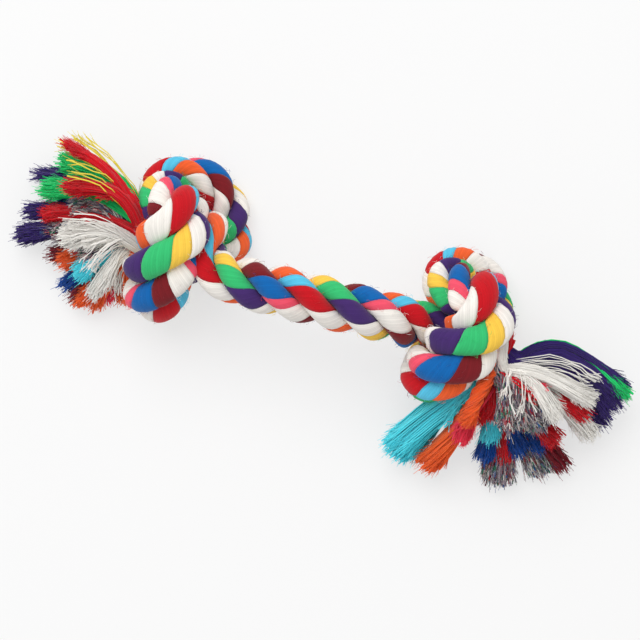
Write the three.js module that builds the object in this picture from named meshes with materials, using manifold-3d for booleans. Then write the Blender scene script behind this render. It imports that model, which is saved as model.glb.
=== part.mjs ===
// Rope dog toy: a length of three-strand laid cotton rope with an overhand knot near each end,
// both ends left unlaid as a tassel. Millimetres, +Z up, lying on its knots with +X along the grip.
import * as THREE from 'three';
import { mergeVertices } from 'three/addons/utils/BufferGeometryUtils.js';
import Module from 'manifold-3d';

const wasm = await Module();
wasm.setup();

// Driving sizes
const ropeDiameter = 22; // over the three strands
const layPitch = 46.5; // rope length in which a strand goes once round
const gripLength = 37.4; // straight rope between the knots
const tasselLength = 50; // loose yarn past each knot
const strandGap = 3.4; // between two strands, which press each other flat there
const bundleGap = 0.4; // seam between two yarn bundles of a strand
const coreGap = 1.2; // clearance round the mixed yarn at the heart of a strand

// Section of the rope, as shares of its diameter
const strandCentreShare = 0.235;
const strandRadiusShare = 0.262;
const coreShare = 0.16; // of the strand's radius

// Route of the rope's axis through each knot, by hand. Each row: x, y, z in rope diameters, then how
// wide and how deep the pressed rope is there, against its loose diameter.
// The left knot is given from the left end of the grip, the right knot from its right end.
const leftKnotShares = [
  [-2.9, 0.35, -0.95, 0.8, 0.68], [-2.45, 0.15, -1.05, 0.8, 0.68], [-2.0, 0.15, -1.2, 0.8, 0.68],
  [-1.45, 0.1, -1.5, 0.8, 0.68], [-1.15, 0.65, -1.8, 0.8, 0.68], [-1.35, 1.2, -1.95, 0.8, 0.68],
  [-1.65, 1.6, -1.9, 0.8, 0.68], [-2.1, 1.75, -1.75, 0.8, 0.68], [-2.6, 1.6, -1.45, 0.8, 0.68],
  [-2.65, 1.15, -1.0, 0.8, 0.68], [-2.35, 1.12, -0.4, 0.95, 0.68], [-2.1, 0.85, 0, 1.2, 0.7],
  [-2.24, 0.35, 0, 1.3, 0.7], [-2.32, -0.12, -0.15, 1.35, 0.72], [-2.33, -0.56, -0.7, 1.1, 0.7],
  [-2.33, -0.62, -1.4, 0.8, 0.68], [-2.3, -0.2, -1.9, 0.8, 0.68], [-2.25, 0.3, -1.95, 0.8, 0.68],
  [-2.15, 0.8, -1.75, 0.8, 0.68], [-1.85, 1.05, -1.2, 0.8, 0.68], [-1.6, 0.75, -0.7, 0.8, 0.7],
  [-1.5, 0.2, -0.45, 0.85, 0.78], [-1.05, 0.05, -0.25, 0.94, 0.9], [-0.55, 0, -0.1, 1, 1], [0, 0, 0, 1, 1],
];
const rightKnotShares = [
  [0, 0, 0, 1, 1], [0.5, 0, -0.2, 1, 1], [0.9, 0, -0.55, 0.94, 0.9], [1.3, 0, -0.8, 0.85, 0.75],
  [1.75, -0.3, -0.9, 0.8, 0.68], [2.2, -0.3, -1.3, 0.8, 0.68], [2.35, 0.15, -1.7, 0.8, 0.68],
  [2.3, 0.55, -1.8, 0.8, 0.68], [2.15, 0.95, -1.75, 0.8, 0.68], [1.8, 1.2, -1.5, 0.8, 0.68],
  [1.35, 1.15, -1.05, 0.8, 0.68], [1.25, 0.8, -0.65, 0.85, 0.68], [1.6, 0.82, -0.3, 0.95, 0.68],
  [2.0, 0.68, 0.1, 1.25, 0.7], [2.08, 0.25, 0.2, 1.4, 0.72], [1.85, -0.2, 0.2, 1.4, 0.72],
  [1.55, -0.6, 0, 1.35, 0.72], [1.38, -0.88, -0.5, 1.05, 0.7], [1.3, -0.92, -1.12, 0.8, 0.68],
  [1.35, -0.5, -1.65, 0.8, 0.68], [1.4, 0, -1.75, 0.8, 0.68], [1.55, 0.4, -1.5, 0.8, 0.68],
  [1.9, 0.6, -1.05, 0.8, 0.68], [2.2, 0.45, -0.75, 0.8, 0.68], [2.35, 0.15, -0.5, 0.8, 0.68],
  [2.5, -0.15, -0.4, 0.8, 0.68], [2.65, -0.5, -0.45, 0.8, 0.68],
];
const gripPlaceShare = [-0.07, 0.42]; // middle of the grip from the part's origin
const gripHeightShare = 2.16; // axis of the grip above the underside
const gripDropShare = 0.14; // how much lower the grip's right end lies

// Lay of the rope
const stationsPerPitch = 8.7;
const startTurnShare = 0.83; // of a turn, where strand A stands at the left tassel

// Where the knots tighten or loosen the lay. Each row: place along the rope as a share of its length,
// then what is added there, in turns, to the strands' turning and to the rolling of A, B and C.
const layMarks = [
  [0, 0.17, 0.12, 0.5, -0.2], [0.1, 0.24, -0.05, -0.2, -0.2], [0.16, 0.32, 0.1, 0.22, 0.1],
  [0.2, 0.48, -0.08, 0.08, 0.15], [0.265, 0.465, -0.15, -0.1, -0.3], [0.41, 0, -0.13, 0, 0],
  [0.48, 0, 0, 0, 0.04], [0.57, -0.05, 0, 0.01, 0.01], [0.64, 0.05, 0.15, 0, 0],
  [0.7, 0.25, 0.28, 0.12, 0], [0.765, 0.51, -0.1, -0.15, 0.04], [0.8, 0.52, 0, -0.41, 0.3],
  [0.835, 0.6, 0.27, -0.41, 0.43], [1, 0.867, 0.45, 0, 0.43],
];

// A strand is twisted against the lay: its bundles start at a roll and turn back with every pitch
const strands = [
  {
    name: 'a',
    rollShare: 0.348,
    driftShare: -1.16,
    bundles: [
      { name: 'orange', color: 0xff6a3a, share: 0.22 },
      { name: 'light_blue', color: 0x5fc8e8, share: 0.16 },
      { name: 'red', color: 0xcc1020, share: 0.32 },
      { name: 'white', color: 0xf2ede6, share: 0.3 },
    ],
  },
  {
    name: 'b',
    rollShare: 0.288,
    driftShare: -1.25,
    bundles: [
      { name: 'yellow', color: 0xfcc840, share: 0.2 },
      { name: 'green', color: 0x34bf74, share: 0.28 },
      { name: 'purple', color: 0x4a3278, share: 0.32 },
      { name: 'white', color: 0xf2ede6, share: 0.2 },
    ],
  },
  {
    name: 'c',
    rollShare: 0.415,
    driftShare: -1.38,
    bundles: [
      { name: 'maroon', color: 0x7a1a20, share: 0.24 },
      { name: 'blue', color: 0x0a64c0, share: 0.3 },
      { name: 'pink', color: 0xfa5a6e, share: 0.14 },
      { name: 'white', color: 0xf2ede6, share: 0.32 },
    ],
  },
];

// Tassels: where each fans out to, and how far
const tassels = {
  left: { turn: THREE.MathUtils.degToRad(203), spread: THREE.MathUtils.degToRad(60), riseShare: 0.35 },
  right: { turn: THREE.MathUtils.degToRad(-63), spread: THREE.MathUtils.degToRad(62), riseShare: 0.35 },
};
const tuftSteps = 4;
const tuftSwellShare = 1.3; // how much thicker a tuft is at its cut end
const tuftWaistShare = 0.27; // how much thinner it is on the way there
const kneeShare = 0.28; // of the tassel, after which a tuft leaves the rope's own direction
const fanShare = 1.8; // how fully the tufts use the spread

const full = Math.PI * 2;
const up = new THREE.Vector3(0, 0, 1);
const gripStart = new THREE.Vector3(
  gripPlaceShare[0] * ropeDiameter - gripLength / 2,
  gripPlaceShare[1] * ropeDiameter,
  gripHeightShare * ropeDiameter,
);
const gripEnd = gripStart.clone();
gripEnd.x += gripLength;
gripEnd.z -= gripDropShare * ropeDiameter;

function placed(shares, origin) {
  return shares.map(([x, y, z, width, depth]) => {
    const at = new THREE.Vector3(x, y, z).multiplyScalar(ropeDiameter).add(origin);
    return [...at, width, depth];
  });
}

// A smooth curve drawn near the points, as a cubic B-spline through all their columns
function smoothRoute(points, steps) {
  const mirrored = (end, beside) => end.map((value, column) => 2 * value - beside[column]);
  const all = [mirrored(points[0], points[1]), ...points, mirrored(points.at(-1), points.at(-2))];
  const rows = [];
  for (let i = 1; i < all.length - 2; i++) {
    for (let k = 0; k < steps; k++) {
      const t = k / steps;
      const weights = [(1 - t) ** 3, 3 * t ** 3 - 6 * t * t + 4, 1 + 3 * t + 3 * t * t - 3 * t ** 3, t ** 3];
      const mix = (column) => weights.reduce((sum, w, j) => sum + (w / 6) * all[i - 1 + j][column], 0);
      rows.push(points[0].map((_, column) => mix(column)));
    }
  }
  rows.push(points.at(-1));
  return rows.map(([x, y, z, width, depth]) => ({ at: new THREE.Vector3(x, y, z), width, depth }));
}

// Stations at even distances along the route, each with its tangent, its side directions and its bend
function walk(route, spacing) {
  const reach = [0];
  for (let i = 1; i < route.length; i++) reach.push(reach[i - 1] + route[i].at.distanceTo(route[i - 1].at));
  const tangents = route.map((_, i) => {
    const before = route[Math.max(i - 1, 0)];
    const after = route[Math.min(i + 1, route.length - 1)];
    return after.at.clone().sub(before.at).normalize();
  });
  const sides = [];
  let side = up.clone();
  for (const tangent of tangents) {
    side = side.clone().addScaledVector(tangent, -side.dot(tangent)).normalize();
    sides.push(side);
  }
  const count = Math.round(reach.at(-1) / spacing);
  const stations = [];
  let i = 0;
  for (let n = 0; n <= count; n++) {
    const along = (reach.at(-1) * n) / count;
    while (i < route.length - 2 && reach[i + 1] < along) i++;
    const t = (along - reach[i]) / (reach[i + 1] - reach[i]);
    const tangent = tangents[i].clone().lerp(tangents[i + 1], t).normalize();
    const side0 = sides[i].clone().lerp(sides[i + 1], t);
    side0.addScaledVector(tangent, -side0.dot(tangent)).normalize();
    const back = Math.max(i - bendSteps, 0);
    const ahead = Math.min(i + bendSteps, route.length - 1);
    const bend = tangents[ahead].clone().sub(tangents[back]).divideScalar(reach[ahead] - reach[back]);
    stations.push({
      along,
      centre: route[i].at.clone().lerp(route[i + 1].at, t),
      width: THREE.MathUtils.lerp(route[i].width, route[i + 1].width, t),
      depth: THREE.MathUtils.lerp(route[i].depth, route[i + 1].depth, t),
      tangent,
      side: side0,
      cross: tangent.clone().cross(side0),
      bend: bend.addScaledVector(tangent, -bend.dot(tangent)),
    });
  }
  return stations;
}

const routeSteps = 12;
const bendSteps = 3; // route steps over which a bend is measured
const controlPoints = [
  ...placed(leftKnotShares, gripStart),
  [...gripStart.clone().lerp(gripEnd, 1 / 3), 1, 1],
  [...gripStart.clone().lerp(gripEnd, 2 / 3), 1, 1],
  ...placed(rightKnotShares, gripEnd),
];
const route = smoothRoute(controlPoints, routeSteps);
const stations = walk(route, layPitch / stationsPerPitch);

// A point of the rope's section, pressed flat in a knot and squeezed on the inside of a bend
function sectionPoint(station, x, y) {
  const offset = station.side.clone().multiplyScalar(x).addScaledVector(station.cross, y);
  offset.multiply(new THREE.Vector3(station.width, station.width, station.depth));
  const sharpness = station.bend.length();
  const inwards = station.bend.clone().divideScalar(sharpness || 1);
  const inside = offset.dot(inwards);
  if (inside > 0 && sharpness > 0) {
    const squeezed = -Math.expm1(-inside * sharpness) / sharpness;
    offset.addScaledVector(inwards, squeezed - inside);
  }
  return offset.add(station.centre);
}

// Distance from a strand's centre to its surface, flat where it meets the two other strands
function strandReach(angle) {
  const flat = strandCentreShare * ropeDiameter * Math.sin(Math.PI / strands.length) - strandGap / 2;
  let reach = strandRadiusShare * ropeDiameter;
  const facing = full / 2 - full / (4 * strands.length);
  for (const side of [facing, -facing]) {
    const lean = Math.cos(angle - side);
    if (lean > 0) reach = Math.min(reach, flat / lean);
  }
  return reach;
}

function polar(reach, angle) {
  return [reach * Math.cos(angle), reach * Math.sin(angle)];
}

// A column of the lay's marks at a place along the rope
function markAt(along, column) {
  const place = along / stations.at(-1).along;
  const next = Math.max(layMarks.findIndex((row) => row[0] >= place), 1);
  const [before, after] = [layMarks[next - 1], layMarks[next]];
  return THREE.MathUtils.mapLinear(place, before[0], after[0], before[column], after[column]);
}

// Where a strand stands in the section and how far its bundles have rolled
function strandPose(strandIndex, strand, along) {
  const turns = along / layPitch + markAt(along, 1);
  const angle = full * (startTurnShare + turns - strandIndex / strands.length);
  const roll = full * (strand.rollShare + strand.driftShare * turns + markAt(along, 2 + strandIndex));
  const centre = polar(strandCentreShare * ropeDiameter, angle);
  return { angle, roll, centre };
}

// Outline of a bundle: its inner corner, then its outer corner, crown and other outer corner
function bundleOutline(pose, from, share) {
  const start = pose.roll + full * from;
  const middle = start + (full * share) / 2;
  const end = start + full * share;
  const inner = coreShare * strandRadiusShare * ropeDiameter * Math.cos((full * share) / 2);
  const corner = (angle, sign) => {
    const [x, y] = polar(strandReach(angle - pose.angle), angle);
    return [x - (sign * Math.sin(angle) * bundleGap) / 2, y + (sign * Math.cos(angle) * bundleGap) / 2];
  };
  return [
    polar(Math.max(inner, 0) + coreGap, middle),
    corner(start, 1),
    polar(strandReach(middle - pose.angle), middle),
    corner(end, -1),
  ].map(([x, y]) => [x + pose.centre[0], y + pose.centre[1]]);
}

// Outline of the mixed-yarn core of a strand, with a corner behind each seam
function coreOutline(pose, seams) {
  return seams.map((seam) => {
    const [x, y] = polar(coreShare * strandRadiusShare * ropeDiameter, pose.roll + full * seam);
    return [x + pose.centre[0], y + pose.centre[1]];
  });
}

function middleOf(points) {
  return points.reduce((sum, p) => sum.add(p), new THREE.Vector3()).divideScalar(points.length);
}

// Rings of a tuft, from its root ring out to its cut end
function tuftRings(rootRing, rootStation, outwards, tassel) {
  const root = middleOf(rootRing);
  const axis = new THREE.Vector3(Math.cos(tassel.turn), Math.sin(tassel.turn), 0);
  const across = up.clone().cross(axis);
  const offset = root.clone().sub(rootStation.centre).divideScalar(ropeDiameter / 2);
  const swing = tassel.spread * fanShare * offset.dot(across);
  const aim = axis.clone().applyAxisAngle(up, swing);
  const lift = offset.z * tassel.riseShare;
  const drop = rootStation.centre.z - ropeDiameter / 2;
  const tip = root.clone().addScaledVector(aim, tasselLength);
  tip.z += lift * tasselLength - drop;
  const knee = root.clone().addScaledVector(outwards, tasselLength * kneeShare);
  const path = new THREE.QuadraticBezierCurve3(root, knee, tip);
  const rings = [];
  let facing = outwards.clone();
  let ring = rootRing.map((p) => p.clone().sub(root));
  for (let n = 1; n <= tuftSteps; n++) {
    const t = n / tuftSteps;
    const heading = path.getTangent(t);
    const turn = new THREE.Quaternion().setFromUnitVectors(facing, heading);
    ring = ring.map((p) => p.clone().applyQuaternion(turn));
    facing = heading;
    const swell = 1 + tuftSwellShare * t * t - tuftWaistShare * Math.sin(Math.PI * t);
    rings.push(ring.map((p) => p.clone().multiplyScalar(swell).add(path.getPoint(t))));
  }
  return rings;
}

// A closed body through rings of points. The listed sides are split the other way: a bundle's first
// side, so that two neighbours' facing sides stay parallel.
function loft(rings, splitOtherWay) {
  const count = rings[0].length;
  const positions = [];
  rings.forEach((ring) => ring.forEach((p) => positions.push(p.x, p.y, p.z)));
  const triangles = [];
  for (let i = 0; i < rings.length - 1; i++) {
    for (let j = 0; j < count; j++) {
      const a = i * count + j;
      const b = i * count + ((j + 1) % count);
      const c = b + count;
      const d = a + count;
      if (splitOtherWay.includes(j)) triangles.push(a, b, d, b, c, d);
      else triangles.push(a, b, c, a, c, d);
    }
  }
  const last = (rings.length - 1) * count;
  for (let j = 1; j < count - 1; j++) {
    triangles.push(0, j + 1, j, last, last + j, last + j + 1);
  }
  const geometry = new THREE.BufferGeometry();
  geometry.setAttribute('position', new THREE.Float32BufferAttribute(positions, 3));
  geometry.setIndex(triangles);
  return geometry;
}

function toSolid(geometry) {
  const bare = geometry.clone();
  bare.deleteAttribute('normal');
  bare.deleteAttribute('uv');
  const merged = mergeVertices(bare, 1e-4);
  return new wasm.Manifold(
    new wasm.Mesh({
      numProp: 3,
      vertProperties: merged.attributes.position.array,
      triVerts: Uint32Array.from(merged.index.array),
    }),
  );
}

function toGeometry(solid) {
  const mesh = solid.getMesh();
  const geometry = new THREE.BufferGeometry();
  geometry.setAttribute('position', new THREE.BufferAttribute(mesh.vertProperties, 3));
  geometry.setIndex(new THREE.BufferAttribute(mesh.triVerts, 1));
  return geometry;
}

// The surface that the toy lies on, which presses what reaches it flat
const floorSize = 20 * ropeDiameter;
const floorSolid = toSolid(
  new THREE.BoxGeometry(floorSize, floorSize, floorSize).translate(0, 0, -floorSize / 2),
);

function pressedFlat(geometry) {
  geometry.computeBoundingBox();
  if (geometry.boundingBox.min.z >= 0) return geometry;
  return toGeometry(toSolid(geometry).subtract(floorSolid));
}

// The whole run of one yarn bundle or core: left tuft, laid rope, right tuft
function yarnRun(outlineAt, splitOtherWay) {
  const laid = stations.map((station) => outlineAt(station).map(([x, y]) => sectionPoint(station, x, y)));
  const first = stations[0];
  const last = stations.at(-1);
  const leftRings = tuftRings(laid[0], first, first.tangent.clone().negate(), tassels.left);
  const rightRings = tuftRings(laid.at(-1), last, last.tangent.clone(), tassels.right);
  return pressedFlat(loft([...leftRings.reverse(), ...laid, ...rightRings], splitOtherWay));
}

function yarnMesh(name, color, geometry) {
  const material = new THREE.MeshStandardMaterial({ color, roughness: 0.95, metalness: 0 });
  geometry.computeVertexNormals();
  const mesh = new THREE.Mesh(geometry, material);
  mesh.name = name;
  return mesh;
}

const toy = new THREE.Group();
toy.name = 'rope_dog_toy';
strands.forEach((strand, index) => {
  const poseAt = (station) => strandPose(index, strand, station.along);
  let from = 0;
  const seams = [];
  for (const bundle of strand.bundles) {
    const start = from;
    const geometry = yarnRun((station) => bundleOutline(poseAt(station), start, bundle.share), [0]);
    toy.add(yarnMesh(`strand_${strand.name}_${bundle.name}_yarn`, bundle.color, geometry));
    seams.push(start);
    from += bundle.share;
  }
  const core = yarnRun((station) => coreOutline(poseAt(station), seams), []);
  toy.add(yarnMesh(`strand_${strand.name}_mixed_core`, 0x7a6c74, core));
});

export default toy;
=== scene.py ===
import math

import bpy
import numpy as np
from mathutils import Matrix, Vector


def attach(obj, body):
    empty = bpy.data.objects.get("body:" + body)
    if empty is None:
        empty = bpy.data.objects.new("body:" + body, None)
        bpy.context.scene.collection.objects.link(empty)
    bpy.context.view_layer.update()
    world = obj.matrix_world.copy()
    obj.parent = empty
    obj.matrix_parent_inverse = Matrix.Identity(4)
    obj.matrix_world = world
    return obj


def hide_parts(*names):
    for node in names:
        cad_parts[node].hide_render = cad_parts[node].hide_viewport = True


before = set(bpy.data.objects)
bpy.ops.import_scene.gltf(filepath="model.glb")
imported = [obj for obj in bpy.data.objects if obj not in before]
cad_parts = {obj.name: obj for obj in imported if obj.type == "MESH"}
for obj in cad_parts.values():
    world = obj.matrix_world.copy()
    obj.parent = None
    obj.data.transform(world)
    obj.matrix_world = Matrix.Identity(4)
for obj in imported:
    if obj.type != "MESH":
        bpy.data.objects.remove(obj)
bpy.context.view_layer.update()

# Rope dog toy: three-strand laid cotton rope, an overhand knot near each end, loose yarn tassels.
# Metres, in the CAD model's frame: +X along the grip, +Z up from the surface it lies on.

mm = 0.001
full = 2 * math.pi


# Camera: looks straight down, turned so that the grip runs down to the right

photoView = {
    "aim": (-0.0019, 0.0017),
    "gripHeight": 0.044,
    "distance": 1.25,
    "frameWidth": 0.2632,  # at the height of the grip
    "roll": 13.5,  # degrees
    "sensorWidth": 36,
    "nearest": 0.05,
    "farthest": 20,
}


def setCamera():
    camera = bpy.data.objects.new("photoCamera", bpy.data.cameras.new("photoCamera"))
    bpy.context.scene.collection.objects.link(camera)
    camera.data.sensor_width = photoView["sensorWidth"]
    camera.data.lens = photoView["sensorWidth"] * photoView["distance"] / photoView["frameWidth"]
    camera.data.clip_start = photoView["nearest"]
    camera.data.clip_end = photoView["farthest"]
    camera.location = (*photoView["aim"], photoView["gripHeight"] + photoView["distance"])
    camera.rotation_euler = (0, 0, math.radians(photoView["roll"]))
    bpy.context.scene.camera = camera
    bpy.context.scene.view_settings.view_transform = "Standard"


setCamera()
print("camera set")


# Route of the rope's axis, in rope diameters, the same points as in the CAD model

rope = {
    "diameter": 22 * mm,
    "pitch": 46.5 * mm,  # rope length in which a strand goes once round
    "gripLength": 37.4 * mm,
    "gripPlace": (-0.07, 0.42),
    "gripHeight": 2.16,
    "gripDrop": 0.14,
    "strandCentre": 0.235,
    "strandRadius": 0.262,
    "startTurn": 0.83,
    "routeSteps": 12,  # between two points of the route
    "bendSteps": 3,  # route steps on either side, over which a bend is measured
    "ringSpacing": 1.5 * mm,
}
leftKnot = [
    [-2.9, 0.35, -0.95], [-2.45, 0.15, -1.05], [-2, 0.15, -1.2], [-1.45, 0.1, -1.5], [-1.15, 0.65, -1.8],
    [-1.35, 1.2, -1.95], [-1.65, 1.6, -1.9], [-2.1, 1.75, -1.75], [-2.6, 1.6, -1.45], [-2.65, 1.15, -1],
    [-2.35, 1.12, -0.4], [-2.1, 0.85, 0], [-2.24, 0.35, 0], [-2.32, -0.12, -0.15], [-2.33, -0.56, -0.7],
    [-2.33, -0.62, -1.4], [-2.3, -0.2, -1.9], [-2.25, 0.3, -1.95], [-2.15, 0.8, -1.75], [-1.85, 1.05, -1.2],
    [-1.6, 0.75, -0.7], [-1.5, 0.2, -0.45], [-1.05, 0.05, -0.25], [-0.55, 0, -0.1], [0, 0, 0],
]
rightKnot = [
    [0, 0, 0], [0.5, 0, -0.2], [0.9, 0, -0.55], [1.3, 0, -0.8], [1.75, -0.3, -0.9],
    [2.2, -0.3, -1.3], [2.35, 0.15, -1.7], [2.3, 0.55, -1.8], [2.15, 0.95, -1.75], [1.8, 1.2, -1.5],
    [1.35, 1.15, -1.05], [1.25, 0.8, -0.65], [1.6, 0.82, -0.3], [2, 0.68, 0.1], [2.08, 0.25, 0.2],
    [1.85, -0.2, 0.2], [1.55, -0.6, 0], [1.38, -0.88, -0.5], [1.3, -0.92, -1.12], [1.35, -0.5, -1.65],
    [1.4, 0, -1.75], [1.55, 0.4, -1.5], [1.9, 0.6, -1.05], [2.2, 0.45, -0.75], [2.35, 0.15, -0.5],
    [2.5, -0.15, -0.4], [2.65, -0.5, -0.45],
]
# Where the knots tighten or loosen the lay. Each row: place along the rope as a share of its length,
# then what is added there, in turns, to the strands' turning and to the rolling of A, B and C.
layMarks = [
    [0, 0.17, 0.12, 0.5, -0.2], [0.1, 0.24, -0.05, -0.2, -0.2], [0.16, 0.32, 0.1, 0.22, 0.1],
    [0.2, 0.48, -0.08, 0.08, 0.15], [0.265, 0.465, -0.15, -0.1, -0.3], [0.41, 0, -0.13, 0, 0],
    [0.48, 0, 0, 0, 0.04], [0.57, -0.05, 0, 0.01, 0.01], [0.64, 0.05, 0.15, 0, 0],
    [0.7, 0.25, 0.28, 0.12, 0], [0.765, 0.51, -0.1, -0.15, 0.04], [0.8, 0.52, 0, -0.41, 0.3],
    [0.835, 0.6, 0.27, -0.41, 0.43], [1, 0.867, 0.45, 0, 0.43],
]
# Width and depth of the pressed rope at the same points, against its loose diameter
leftKnotWidths = [
    0.85, 0.85, 0.85, 0.85, 0.9, 0.95, 0.95, 0.95, 1, 1.05, 1.1, 1.25, 1.4, 1.45, 1.3,
    1.05, 0.9, 0.9, 0.9, 0.9, 0.92, 0.96, 1, 1, 1,
]
leftKnotDepths = [
    0.75, 0.72, 0.7, 0.7, 0.72, 0.75, 0.78, 0.8, 0.8, 0.8, 0.8, 0.8, 0.8, 0.8, 0.78,
    0.75, 0.7, 0.7, 0.7, 0.75, 0.8, 0.85, 0.92, 1, 1,
]
rightKnotWidths = [
    1, 1, 0.97, 0.92, 0.88, 0.88, 0.9, 0.92, 0.98, 1.02, 1.02, 1.02, 1.1, 1.25, 1.4,
    1.45, 1.4, 1.15, 0.95, 0.9, 0.9, 0.88, 0.85, 0.85, 0.85, 0.85, 0.85,
]
rightKnotDepths = [
    1, 1, 0.92, 0.8, 0.74, 0.72, 0.72, 0.74, 0.76, 0.78, 0.8, 0.8, 0.8, 0.8, 0.8,
    0.8, 0.78, 0.75, 0.72, 0.7, 0.7, 0.72, 0.72, 0.74, 0.76, 0.78, 0.8,
]
strands = {
    "A": {
        "roll": 0.348, "drift": -1.16,
        "bundles": [("orange", 0.22), ("light_blue", 0.16), ("red", 0.32), ("white", 0.3)],
    },
    "B": {
        "roll": 0.288, "drift": -1.25,
        "bundles": [("yellow", 0.2), ("green", 0.28), ("purple", 0.32), ("white", 0.2)],
    },
    "C": {
        "roll": 0.415, "drift": -1.38,
        "bundles": [("maroon", 0.24), ("blue", 0.3), ("pink", 0.14), ("white", 0.32)],
    },
}

diameter = rope["diameter"]
gripStart = np.array([
    rope["gripPlace"][0] * diameter - rope["gripLength"] / 2,
    rope["gripPlace"][1] * diameter,
    rope["gripHeight"] * diameter,
])
gripEnd = gripStart + np.array([rope["gripLength"], 0, -rope["gripDrop"] * diameter])


# A smooth curve led by the points: a cubic B-spline in each of their columns

def smoothRoute(points, steps):
    first = 2 * points[0] - points[1]
    last = 2 * points[-1] - points[-2]
    every = np.vstack([first, points, last])
    route = []
    for i in range(1, len(every) - 2):
        for k in range(steps):
            t = k / steps
            weights = np.array([
                (1 - t) ** 3, 3 * t**3 - 6 * t * t + 4, -3 * t**3 + 3 * t * t + 3 * t + 1, t**3,
            ])
            route.append(weights @ every[i - 1 : i + 3] / 6)
    route.append(points[-1])
    return np.array(route)


def unit(vectors):
    return vectors / np.linalg.norm(vectors, axis=-1, keepdims=True)


def squareTo(tangents, vectors):
    return vectors - (vectors * tangents).sum(-1, keepdims=True) * tangents


# Rings at even distances along the rope, each with its side directions, its bend and its size

def walkRoute():
    middle = [gripStart + (gripEnd - gripStart) * share for share in (1 / 3, 2 / 3)]
    leftPoints = np.array(leftKnot) * diameter + gripStart
    rightPoints = np.array(rightKnot) * diameter + gripEnd
    points = np.vstack([leftPoints, middle, rightPoints])
    widths = leftKnotWidths + [1.0, 1.0] + rightKnotWidths
    depths = leftKnotDepths + [1.0, 1.0] + rightKnotDepths
    route = smoothRoute(np.column_stack([points, widths, depths]), rope["routeSteps"])
    line = route[:, :3]
    reach = np.concatenate([[0], np.cumsum(np.linalg.norm(np.diff(line, axis=0), axis=1))])
    spots = np.arange(len(line))
    tangents = unit(line[np.minimum(spots + 1, len(line) - 1)] - line[np.maximum(spots - 1, 0)])
    sides = []
    side = np.array([0.0, 0.0, 1.0])
    for tangent in tangents:
        side = unit(squareTo(tangent, side))
        sides.append(side)
    ahead = np.minimum(spots + rope["bendSteps"], len(line) - 1)
    back = np.maximum(spots - rope["bendSteps"], 0)
    bends = (tangents[ahead] - tangents[back]) / (reach[ahead] - reach[back])[:, None]
    along = np.linspace(0, reach[-1], round(reach[-1] / rope["ringSpacing"]) + 1)

    def at(values):
        return np.column_stack([np.interp(along, reach, column) for column in values.T])

    tangent = unit(at(tangents))
    side = unit(squareTo(tangent, at(np.array(sides))))
    sizes = at(route[:, 3:])
    return {
        "along": along, "centre": at(line), "side": side, "cross": np.cross(tangent, side),
        "bend": squareTo(tangent, at(bends)), "width": sizes[:, 0], "depth": sizes[:, 1],
    }


walk = walkRoute()
print("rope length", round(walk["along"][-1], 3))


# Points of the rope's section, one row for each ring: pressed flat, squeezed inside a bend

def sectionPoints(x, y):
    offset = walk["side"][:, None, :] * x[..., None] + walk["cross"][:, None, :] * y[..., None]
    offset[..., :2] *= walk["width"][:, None, None]
    offset[..., 2] *= walk["depth"][:, None]
    sharpness = np.maximum(np.linalg.norm(walk["bend"], axis=1), 1e-6)  # never zero
    inwards = walk["bend"] / sharpness[:, None]
    inside = (offset * inwards[:, None, :]).sum(-1)
    squeezed = -np.expm1(-np.maximum(inside, 0) * sharpness[:, None]) / sharpness[:, None]
    offset += inwards[:, None, :] * np.where(inside > 0, squeezed - inside, 0)[..., None]
    return walk["centre"][:, None, :] + offset


# Laid rope: a bundle is a slice of its strand, and a strand is flat where it meets the two others

lay = {
    "cornerRounding": 9,  # higher is squarer where strands meet
    "seamDepth": 0.35 * mm,
    "seamWidth": 0.9 * mm,
    "yarnPitch": 0.85,  # in mm, across a bundle
    "arcPoints": 44,  # round a whole strand
    "fewestArcPoints": 8,
    "coreArcPoints": 5,  # a core's section is never drawn, and only its middle is used
    "floorGap": 0.1 * mm,
}


def strandReach(angle):
    flat = rope["strandCentre"] * diameter * math.sin(math.pi / len(strands))
    radius = rope["strandRadius"] * diameter
    power = lay["cornerRounding"]
    facing = full / 2 - full / (4 * len(strands))
    total = (1 / radius) ** power * np.ones_like(angle)
    for side in (facing, -facing):
        lean = np.maximum(np.cos(angle - side), 1e-3)  # never zero
        total = total + (lean / flat) ** power
    return total ** (-1 / power)


def markAt(along, column):
    marks = np.array(layMarks)
    return np.interp(along / along[-1], marks[:, 0], marks[:, column])


def bundleSection(strandIndex, strand, start, share, arcCount):
    along = walk["along"]
    turns = along / rope["pitch"] + markAt(along, 1)
    pose = full * (rope["startTurn"] + turns - strandIndex / len(strands))
    roll = full * (strand["roll"] + strand["drift"] * turns + markAt(along, 2 + strandIndex))
    spots = np.linspace(0, 1, arcCount)
    angle = roll[:, None] + full * (start + share * spots)[None, :]
    arc = full * share * rope["strandRadius"] * diameter
    edge = np.minimum(spots, 1 - spots) * arc
    seam = lay["seamDepth"] * np.exp(-((edge / lay["seamWidth"]) ** 2))
    reach = strandReach(angle - pose[:, None]) - seam[None, :]
    heartX = rope["strandCentre"] * diameter * np.cos(pose)[:, None]
    heartY = rope["strandCentre"] * diameter * np.sin(pose)[:, None]
    x = np.hstack([heartX, reach * np.cos(angle) + heartX])
    y = np.hstack([heartY, reach * np.sin(angle) + heartY])
    yarnAcross = np.concatenate([[0.5], spots]) * arc / mm
    return sectionPoints(x, y), yarnAcross


def linkPiece(name, mesh):
    piece = bpy.data.objects.new(name, mesh)
    bpy.context.scene.collection.objects.link(piece)
    return piece


def addAttribute(mesh, name, values, kind="FLOAT"):
    layer = mesh.attributes.new(name, kind, "POINT")
    layer.data.foreach_set("value", np.asarray(values).ravel())


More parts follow.
